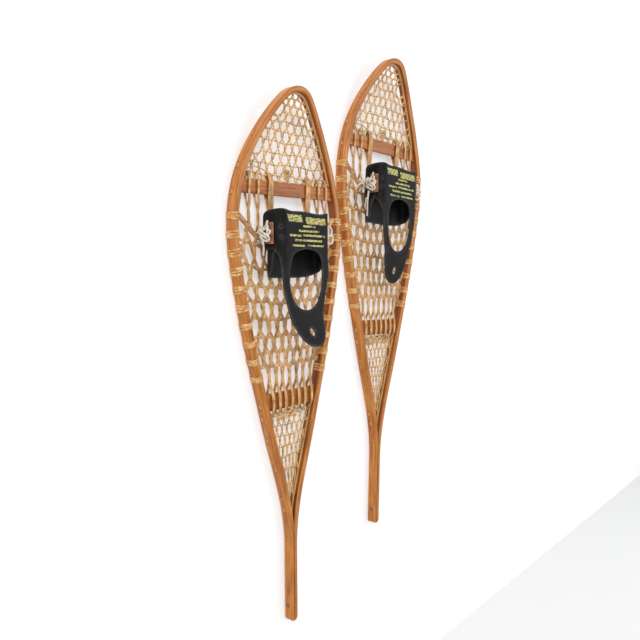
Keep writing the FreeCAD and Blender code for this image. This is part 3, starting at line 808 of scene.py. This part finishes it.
def rail_turns(side):
    """Three flat turns of rawhide round each rail at each lacing point."""
    shape = Shape()
    for mirror in (-1, 1):
        for n, z in enumerate(WRAP_HEIGHTS):
            point, inward, tangent, width = rail_station(z)
            corners = rounded_corners(width, RAIL_DEPTH, RAIL_ROUNDING, 5)
            middle = corners.mean(0)
            outline = middle + (corners - middle) * (1 + 1.5 / width, 1 + 1.5 / RAIL_DEPTH)
            out2 = unit(outline - middle)
            turn = np.arctan2(out2[:, 1], out2[:, 0])
            for k, offset in enumerate(TURN_OFFSETS):
                lean = (1.6 * np.sin(turn + 0.9 * k + 0.6 * n)) + offset
                plan = point + inward * outline[:, :1] + tangent * lean[:, None]
                ring = bent(mirror * plan[:, 0], outline[:, 1], plan[:, 1])
                flat = point + inward * middle[0] + tangent * offset
                centre = bent(mirror * flat[0], middle[1], flat[1])
                sweep(shape, ring, 2.5 + 0.3 * math.sin(n + 2 * k), 0.55, unit(ring - centre), closed=True,
                      seed=n * 0.53 + k * 0.17 + mirror)
    add_piece(side, "rail_turns", "shoe", "rawhide_coarse", "turns", shape, "rail_wraps")


# ---- rubber ----

RUBBER = 4.0
PANEL_HALF = 84.0
PANEL_FRONT = -54.0
PANEL_BACK = -1.5
PANEL_CORNER = 22.0
PANEL_TOP = 946.0
PANEL_LOW = 864.0
# How the heel strap hangs: distance along the sheet from the panel's edge, forward, down.
STRAP_HANG = {
    "left": [(0, 0, 0), (60, 0, 60), (127, 0, 127), (145, 2, 145), (163, 7, 162), (186, 17, 183),
             (202, 24, 197), (220, 33, 213)],
    "right": [(0, 0, 0), (60, 0, 60), (100, -1, 100), (127, -4, 127), (150, -8, 150), (175, -12.5, 174),
              (198, -17, 197), (220, -21, 218)],
}
STRAP_EDGE = [(20, 80), (45, 78), (70, 73.5), (95, 67.5), (127, 58), (145, 54), (163, 49.5), (186, 41.5),
              (202, 31), (212, 17), (217, 0)]
STRAP_WIDTH = {"left": 1.0, "right": 0.93}
LOOP_EDGE = [(-2.5, 0), (0.5, 22), (5, 36), (12, 45), (22, 50.5), (44, 55), (71, 55), (95, 49.5), (114, 38.5),
             (127, 21), (131, 0)]
PULL_HOLE = (181.0, 8.5, 9.5)     # run, half sizes
LACE_HOLE_REACH = 79.0            # along the sheet from its middle
LACE_HOLE_HEIGHTS = (891, 913)
SIDE_LOW = 866.0
SLEEVE_FRONT = -34.0
SLEEVE_BACK = -2.0
SLEEVE_HALF = 79.9
SLEEVE_CORNER = 16.0
SLEEVE_TOP = 893.0
SLEEVE_LOW = 803.0
SLEEVE_BULGE = {"left": 3.0, "right": 16.0}     # how far its outer side stands out


def u_path(half, closed_y, open_y, corner):
    """Half the flat width of a sheet bent into a U, and a function from a flat place to plan (x, y)."""
    sign = 1 if open_y > closed_y else -1
    flat = half - corner
    arc = corner * math.pi / 2
    side_run = abs(open_y - closed_y) - corner

    def place(s):
        a = abs(s)
        if a < flat:
            x, y = a, 0.0
        elif a < flat + arc:
            t = (a - flat) / corner
            x, y = flat + corner * math.sin(t), corner * (1 - math.cos(t))
        else:
            x, y = half, corner + a - flat - arc
        return math.copysign(x, s) if s else 0.0, closed_y + sign * y

    return flat + arc + side_run, place


def oval(x, z, half_x, half_z, count):
    """Points round an oval."""
    a = np.linspace(0, 2 * math.pi, count, endpoint=False)
    return np.stack([x + half_x * np.cos(a), z + half_z * np.sin(a)], 1)


def nearest_on(edges, points):
    """Nearest point on a closed outline, for each point, and its distance."""
    a = edges
    b = np.roll(edges, -1, 0)
    d = b - a
    t = np.einsum("pij,ij->pi", points[:, None] - a[None], d) / np.maximum((d ** 2).sum(1), 1e-9)
    t = np.clip(t, 0, 1)[..., None]
    near = a[None] + t * d[None]
    gap = np.linalg.norm(points[:, None] - near, axis=2)
    best = gap.argmin(1)
    return near[np.arange(len(points)), best], gap.min(1)


def is_inside(edges, points):
    """Which points lie inside a closed outline."""
    x, z = points[:, 0], points[:, 1]
    found = np.zeros(len(points), bool)
    for (x0, z0), (x1, z1) in zip(edges, np.roll(edges, -1, 0)):
        if z0 == z1:
            continue
        crosses = (z0 > z) != (z1 > z)
        found ^= crosses & (x < (x1 - x0) * (z - z0) / (z1 - z0) + x0)
    return found


def cut_sheet(outline, holes, step):
    """Quads that fill an outline but not its holes, as points, faces and distances from the edge."""
    low, high = outline.min(0), outline.max(0)
    columns = int(round((high[0] - low[0]) / step))
    rows = int(round((high[1] - low[1]) / step))
    xs = np.linspace(low[0], high[0], columns + 1)
    zs = np.linspace(low[1], high[1], rows + 1)
    grid = np.stack(np.meshgrid(xs, zs, indexing="ij"), -1)
    middles = (grid[1:, 1:] + grid[:-1, :-1]) / 2
    keep = is_inside(outline, middles.reshape(-1, 2))
    for hole in holes:
        keep &= ~is_inside(hole, middles.reshape(-1, 2))
    keep = keep.reshape(columns, rows)
    used = np.zeros((columns + 1, rows + 1), int)
    for i in (0, 1):
        for j in (0, 1):
            used[i:columns + i, j:rows + j] += keep
    points = grid.copy()
    rim = (used > 0) & (used < 4)
    places = points[rim]
    options = [nearest_on(edge, places) for edge in [outline] + holes]
    best = np.argmin([gap for _, gap in options], 0)
    points[rim] = np.array([near for near, _ in options])[best, np.arange(len(places))]
    inner = used == 4
    for _ in range(4):
        mean = sum(np.roll(points, turn, axis) for axis in (0, 1) for turn in (1, -1)) / 4
        points[inner] = mean[inner]
    index = -np.ones(used.shape, int)
    index[used > 0] = np.arange((used > 0).sum())
    faces = [(index[i, j], index[i + 1, j], index[i + 1, j + 1], index[i, j + 1])
             for i, j in zip(*np.nonzero(keep))]
    flat = points[used > 0]
    distance = np.min([nearest_on(edge, flat)[1] for edge in [outline] + holes], 0)
    return flat, faces, distance


def sheet_piece(side, name, look, outline, holes, step, place, thickness, flipped=False):
    """A cut sheet with rounded edges, its outer face where place() says. Not yet on a body."""
    name = side + "_" + name
    flat, faces, distance = cut_sheet(outline, holes, step)
    if flipped:
        faces = [face[::-1] for face in faces]
    points = np.array([place(s, z) for s, z in flat])
    data = bpy.data.meshes.new(name)
    data.from_pydata(to_row(side, points).tolist(), [], [list(map(int, f)) for f in faces])
    layer = data.attributes.new("edge", "FLOAT", "POINT")
    layer.data.foreach_set("value", np.exp(-distance / 2.5).astype(np.float32))
    uv = data.uv_layers.new(name="UVMap")
    corners = np.array([flat[v] / 100 for f in faces for v in f], np.float32)
    uv.data.foreach_set("uv", corners.ravel())
    piece = add_object(name, data)
    solid = piece.modifiers.new("thickness", "SOLIDIFY")
    solid.thickness = thickness / 1000
    solid.offset = -1
    bevel = piece.modifiers.new("edges", "BEVEL")
    bevel.width = 0.0009
    bevel.segments = 2
    bevel.limit_method = "ANGLE"
    bevel.angle_limit = math.radians(55)
    bpy.context.view_layer.update()
    shown = piece.evaluated_get(bpy.context.evaluated_depsgraph_get())
    final = bpy.data.meshes.new_from_object(shown)
    piece.modifiers.clear()
    piece.data = final
    final.shade_smooth()
    final.materials.append(LOOKS[look])
    return piece


def panel_outline(reach, width):
    """Developed outline of the instep panel and the heel strap below it."""
    top = [(-reach, -12), (-reach + 3, -4), (-reach + 12, 1), (-92, 4.5), (-72, 5), (-60, 2), (-30, 1),
           (0, 0), (24, -2), (50, -2), (72, 1), (92, 1), (reach - 12, 0), (reach - 3, -4), (reach, -12)]
    top = spline([(x, PANEL_TOP + rise) for x, rise in top], (0, 1), (0, -1), 100)
    edge = spline([(w * width, PANEL_LOW - drop) for drop, w in STRAP_EDGE], (0, -1), (-1, 0), 70)
    arch = spline([(104, SIDE_LOW), (97, SIDE_LOW - 1.5), (90, SIDE_LOW - 8), (83.5, PANEL_LOW - 14)],
                  (-1, 0), (-0.15, -1), 14)
    right = np.vstack([[(reach, SIDE_LOW + 2), (reach - 2, SIDE_LOW)], arch, edge[3:]])
    left = (right * (-1, 1))[::-1]
    return np.vstack([top, right, left[1:]])


def binding_rubber(side):
    """Instep panel and heel strap, one cut sheet: the panel goes round the boot, the strap hangs flat."""
    reach, plan = u_path(PANEL_HALF, PANEL_FRONT, PANEL_BACK, PANEL_CORNER)
    runs, forwards, falls = np.array(STRAP_HANG[side]).T

    def place(s, z):
        x, y = plan(s)
        drop = PANEL_LOW - z
        if drop <= 0 or abs(s) > 92:
            return hung(side, x, y, z)
        flat = ease(drop / 60)
        x = x * (1 - flat) + s * 0.99 * flat
        y = y * (1 - flat) + PANEL_FRONT * flat
        around = [drop + step for step in (-9, -4, 0, 4, 9)]
        forward = np.interp(around, runs, forwards).mean()
        fall = np.interp(around, runs, falls).mean() if drop > 9 else drop
        dish = 0.0008 * s * s * math.sin(math.pi * min(1.0, drop / 217))
        return hung(side, x, y - forward + dish, PANEL_LOW - fall)

    width = STRAP_WIDTH[side]
    half_loop = spline([(half * width, PANEL_LOW - run) for run, half in LOOP_EDGE], (1, 0), (-1, 0), 44)
    holes = [np.vstack([half_loop, (half_loop * (-1, 1))[::-1][1:-1]])]
    holes += [oval(0, PANEL_LOW - PULL_HOLE[0], PULL_HOLE[1], PULL_HOLE[2], 32)]
    holes += [oval(sign * LACE_HOLE_REACH, z, 2.6, 2.6, 20) for sign in (-1, 1) for z in LACE_HOLE_HEIGHTS]
    outline = panel_outline(reach, width)
    piece = sheet_piece(side, "binding_rubber", "rubber", outline, holes, 2.0, place, RUBBER)
    start, end = (tuple(to_row(side, hung(side, 0, PANEL_FRONT + 2, z))[0]) for z in (868, 843))
    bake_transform(piece)
    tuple(start)
    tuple(end)
    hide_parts(side + "_instep_panel", side + "_heel_strap")
    panel_print(side, plan)
    lace_hole_shade_discs(side, plan)


def lace_hole_shade_discs(side, plan):
    """Dark discs of painted shade inside the two lace holes at each fold of the panel, standing for the
    holes' dark inside.
    """
    shape = Shape()
    for sign in (-1, 1):
        for z in LACE_HOLE_HEIGHTS:
            rings = []
            for size in (3.0, 1.5, 0.05):
                around = np.linspace(0, 2 * math.pi, 12, endpoint=False)
                places = [plan(sign * LACE_HOLE_REACH + size * math.cos(a)) for a in around]
                rings.append([hung(side, x * 0.975, y + 1.6, z + size * math.sin(a))
                              for (x, y), a in zip(places, around)])
            shape.grid(np.array(rings), np.zeros((3, 13, 2)), caps=False)
    # painted shade that closes the lace holes
    add_piece(side, "lace_hole_shade_discs", "binding", "rubber_sheet", "hole", shape)


def panel_print(side, plan):
    """Plain worn bars of yellow paint on the front of the panel."""
    shape = Shape()
    bars = [(-62, -17, 932, 15), (-5, 62, 928, 15), (-14, 27, 915.5, 4.5), (-27, 40, 905.5, 4.5),
            (-56, -20, 895.5, 4.5), (-14, 60, 896, 4.5), (-40, 50, 885.5, 4.5), (-49, -8, 874, 4),
            (2, 55, 874, 4)]
    for n, (low, high, z, tall) in enumerate(bars):
        s = np.linspace(low, high, 24)
        rows = []
        for t in np.linspace(-0.5, 0.5, 6):
            slant = -0.25 * tall * t
            spots = [plan(v + slant) for v in s]
            rows.append([hung(side, x, y - 0.12, z + tall * t - 0.02 * (v - low))
                         for (x, y), v in zip(spots, s)])
        points = np.array(rows)
        uvs = np.stack(np.meshgrid(np.linspace(0, tall / 100, 6) + n, s / 100, indexing="ij"), -1)
        shape.grid(points, uvs, closed_around=False, caps=False)
    add_piece(side, "panel_print", "binding", "rubber_sheet", "print", shape)


def sleeve_outline(reach):
    """Flat outline of the toe sleeve."""
    low = [(reach, SLEEVE_TOP - 8), (reach - 1, 838), (reach - 5, 824), (reach - 16, 814), (70, 808),
           (45, 804), (0, SLEEVE_LOW), (-45, 803.5), (-66, 805), (-78, 809), (-88, 822),
           (-reach + 6, 850), (-reach, 868), (-reach, SLEEVE_TOP - 8)]
    low = spline(low, (0, -1), (0, 1), 90)
    top = spline([(-reach, SLEEVE_TOP - 8), (-reach + 8, SLEEVE_TOP), (-60, SLEEVE_TOP), (0, SLEEVE_TOP),
                  (60, SLEEVE_TOP), (reach - 8, SLEEVE_TOP), (reach, SLEEVE_TOP - 8)], (0, 1), (0, -1), 60)
    return np.vstack([top[:-1], low[:-1]])


def toe_sleeve(side):
    """The rubber sheet under the toes, curved up at both sides."""
    reach, plan = u_path(SLEEVE_HALF - RUBBER, SLEEVE_BACK - RUBBER, SLEEVE_FRONT, SLEEVE_CORNER - RUBBER)

    def place(s, z):
        x, y = plan(s)
        bulge = SLEEVE_BULGE[side] * ease((SLEEVE_TOP - z) / 50) * max(0.0, -x / SLEEVE_HALF) ** 3
        return hung(side, x - bulge, y, z)

    outline = sleeve_outline(reach)
    piece = sheet_piece(side, "sleeve_rubber", "rubber", outline, [], 3.0, place, -RUBBER, flipped=True)
    attach(piece, side, "binding", "rubber_sheet", "toe_sleeve")


# ---- leather patches and cotton cord ----

PATCH_HALF = (12.0, 23.0)
PATCH_THICK = 3.0
PATCH_MIDDLE = (-24.0, 900.0)
CORD_RADIUS = 2.25
KNOT_RADIUS = 2.3
RING_RADIUS = 10.2


def side_patches(side):
    """Leather patches with two holes, one on each side of the panel."""
    for mirror, name in ((-1, "outer"), (1, "inner")):
        y0, z0 = PATCH_MIDDLE
        box = np.array([(-PATCH_HALF[0], -PATCH_HALF[1]), (PATCH_HALF[0], -PATCH_HALF[1]),
                        (PATCH_HALF[0] - 0.8, PATCH_HALF[1]), (-PATCH_HALF[0] + 0.5, PATCH_HALF[1] - 1)])
        outline = np.vstack([np.linspace(a, b, 12, endpoint=False) for a, b in zip(box, np.roll(box, -1, 0))])
        holes = [oval(-1, 8, 3.2, 3.2, 24), oval(0, -8, 3.2, 3.2, 24)]

        def place(y, z):
            curl = 0.0016 * (y * y + 0.3 * z * z)
            x = mirror * (PANEL_HALF + PATCH_THICK + 0.15 - curl)
            return hung(side, x, y0 + y - PATCH_FORWARD[side], z0 + z)

        piece = sheet_piece(side, name + "_patch", "leather", outline, holes, 1.6, place,
                            PATCH_THICK - 0.4, flipped=mirror > 0)
        attach(piece, side, "binding", "patch_leather", *(["side_patches"] if mirror < 0 else []))


# Knot routes: millimetres out from the patch, depth, height.
KNOTS = [
    [(1, -17, 926), (4, -18, 918), (7, -15, 910), (11, -9, 903), (12, -7, 896), (11, -5, 889),
     (8, -8, 886), (6, -14, 890), (8, -22, 897), (12, -27, 905), (10, -26, 913), (6, -19, 915),
     (5, -10, 911), (9, -5, 905), (14, -8, 898), (13, -16, 893), (8, -21, 888), (5, -17, 884)],
    [(3, -4, 914), (8, -2, 909), (13, -7, 904), (15, -15, 901), (12, -23, 896), (7, -27, 889),
     (5, -22, 883), (8, -15, 884), (13, -11, 889), (14, -9, 897), (10, -12, 905), (5, -20, 908),
     (4, -27, 903), (8, -25, 896), (12, -18, 897), (14, -13, 903), (9, -9, 899), (5, -9, 893)],
]
LONG_LOOPS = [[(8, -14, 900), (18, -13, 911), (31, -12, 920), (41, -12, 917), (42, -13, 905), (31, -14, 898),
               (18, -14, 897), (7, -15, 896)],
              [(8, -12, 896), (21, -13, 893), (34, -13, 899), (45, -13, 897), (46, -13, 886), (35, -13, 880),
               (21, -14, 886), (8, -15, 892)]]


def cotton_ties(side):
    """The lashing of each side: turns round the toe cord, and a messy knot on the patch."""
    shape = Shape()
    for mirror in (-1, 1):
        base = mirror * (PANEL_HALF + PATCH_THICK)
        for n, route in enumerate(KNOTS + (LONG_LOOPS if mirror > 0 else [])):
            points = [hung(side, base + mirror * (x + 1.2), y - KNOT_FORWARD[side], z) for x, y, z in route]
            sweep(shape, smooth_path(points, 1.5), KNOT_RADIUS, KNOT_RADIUS, (mirror, 0.2, 0.1),
                  section=ROUND, seed=n * 0.3 + mirror)
        turn = np.linspace(0, 4 * math.pi, 60)
        ring_x = base + mirror * (1.6 * turn / (2 * math.pi) - 1.0) + SHIFT[side]
        ring = np.stack([ring_x, CORD_Y - RING_RADIUS * np.cos(turn), CORD_Z + RING_RADIUS * np.sin(turn)], 1)
        sweep(shape, ring, 2.0, 2.0, (1, 0, 0), section=ROUND, seed=2.2 + mirror)
    add_piece(side, "cotton_lashing", "binding", "cotton_cord", "cotton", shape, "cord_ties")


CORD_ENDS = [
    ("left_outer_cord_end", 0.0323,
     [(-99, -16, 884), (-100, -18, 874), (-99.5, -18.5, 863), (-100.5, -18, 852)]),
    ("left_inner_cord_end", 0.0355,
     [(99, -16, 884), (100.5, -19, 873), (100, -19, 861), (101.5, -18, 849)]),
    ("right_outer_cord_end", 0.0530,
     [(-100, -33, 892), (-111, -31, 897), (-122, -26, 896), (-132, -20, 887), (-138.5, -14.5, 875.5)]),
    ("right_hanging_cord_end", 0.0632,
     [(-100, -24, 872), (-105, -26, 858), (-107, -26, 842), (-105, -25, 826), (-104, -24, 810)]),
    ("right_inner_cord_end", 0.0385,
     [(99, -24, 877), (101, -27, 865), (100.5, -27.5, 852), (102, -27, 839)]),
]


def cord_ends():
    """The free ends of the cotton cord, each one smooth line."""
    for node, length, route in CORD_ENDS:
        side = node.split("_")[0]
        points = to_row(side, np.array(route) + (SHIFT[side], 0, 0))
        data = bpy.data.curves.new(node + "_cotton", "CURVE")
        data.dimensions = "3D"
        line = data.splines.new("NURBS")
        line.points.add(len(points) - 1)
        for control, point in zip(line.points, points):
            control.co = (*point, 1)
        line.order_u = 3
        line.use_endpoint_u = True
        data.bevel_depth = CORD_RADIUS / 1000
        data.bevel_resolution = 3
        data.resolution_u = 12
        data.use_fill_caps = True
        data.materials.append(LOOKS["cotton"])
        piece = add_object(node + "_cotton", data)
        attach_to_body(piece, side + "_binding")
        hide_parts(node)


# ---- the stage ----

def stage_look(name, colour, one_sided):
    look = Look(name, Roughness=0.9, Base_Color=(*colour, 1))
    if one_sided:
        look.shader.inputs["Emission Color"].default_value = (1, 1, 1, 1)
        look.shader.inputs["Emission Strength"].default_value = 0.42
        clear = look.add("BsdfTransparent")
        back = look.add("NewGeometry").outputs["Backfacing"]
        mixed = look.add("MixShader", {0: back, 1: look.shader.outputs[0], 2: clear.outputs[0]})
        output = look.tree.nodes["Material Output"]
        look.tree.links.new(mixed.outputs[0], output.inputs["Surface"])
    return look.material


def stage_plane(name, corners, look):
    data = bpy.data.meshes.new(name)
    data.from_pydata(corners, [], [(0, 1, 2, 3)])
    data.materials.append(look)
    add_object(name, data)


def build_stage():
    """A wall just behind the pair, seen only from the front, and a floor."""
    wall_y = 0.0135
    floor_z = -1.35
    wall = stage_look("wall_paint", (0.62, 0.62, 0.625), True)
    ground = stage_look("pale_floor", (0.86, 0.86, 0.85), False)
    stage_plane("wall", [(-4, wall_y, floor_z), (5, wall_y, floor_z), (5, wall_y, 4), (-4, wall_y, 4)], wall)
    stage_plane("floor", [(-6, -6, floor_z), (6, -6, floor_z), (6, 6, floor_z), (-6, 6, floor_z)], ground)


def add_light(name, place, target, size, power, colour=(1, 1, 1)):
    data = bpy.data.lights.new(name, "AREA")
    data.shape = "DISK"
    data.size = size
    data.energy = power
    data.color = colour
    lamp = add_object(name, data)
    lamp.location = place
    lamp.rotation_euler = (Vector(target) - Vector(place)).to_track_quat("-Z", "Y").to_euler()


def build_light():
    world = bpy.data.worlds.new("studio")
    bpy.context.scene.world = world
    world.use_nodes = True
    sky = world.node_tree.nodes["Background"]
    sky.inputs[0].default_value = (0.96, 0.97, 1.0, 1)
    sky.inputs[1].default_value = 0.58
    add_light("key", (-1.8, -2.0, 2.1), (0.1, 0, 0.1), 1.5, 62, (1, 0.98, 0.95))
    add_light("fill", (2.4, -2.6, 0.6), (0.1, 0, -0.3), 2.4, 30, (0.95, 0.97, 1))
    add_light("back", (1.6, 2.6, 1.2), (0.1, 0, -0.2), 2.0, 17)


CAMERA_PLACE = (-1.1541, -1.0632, -0.1432)
CAMERA_RIGHT = (0.64335, -0.76555, -0.00512)
CAMERA_UP = (0.06802, 0.0505, 0.99641)
CAMERA_LENS = 38.942


def build_camera():
    data = bpy.data.cameras.new("camera")
    data.sensor_width = 36
    data.lens = CAMERA_LENS
    data.clip_start = 0.05
    camera = add_object("camera", data)
    right = Vector(CAMERA_RIGHT).normalized()
    up = Vector(CAMERA_UP).normalized()
    turn = Matrix((right, up, right.cross(up))).transposed()
    camera.matrix_world = Matrix.Translation(CAMERA_PLACE) @ turn.to_4x4()
    bpy.context.scene.camera = camera


def carried_over(side):
    """Finishes for the CAD nodes that are shown as they are."""
    looks = {"front_crossbar": "bar", "rear_crossbar": "bar", "tail_rivets": "steel",
             "toe_lanyard": "fine", "tail_lanyard": "fine"}
    for node, look in looks.items():
        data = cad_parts[side + "_" + node].data
        data.materials.clear()
        data.materials.append(LOOKS[look])


bpy.context.scene.view_settings.view_transform = "Standard"
build_camera()
build_light()
build_stage()
cord_ends()
for shoe in SIDES:
    carried_over(shoe)
    bent_rail(shoe)
    rail_stitches(shoe)
    toe_weave(shoe)
    centre_weave(shoe)
    tail_weave(shoe)
    bar_strands(shoe)
    toe_cord(shoe)
    rail_turns(shoe)
    binding_rubber(shoe)
    toe_sleeve(shoe)
    side_patches(shoe)
    cotton_ties(shoe)
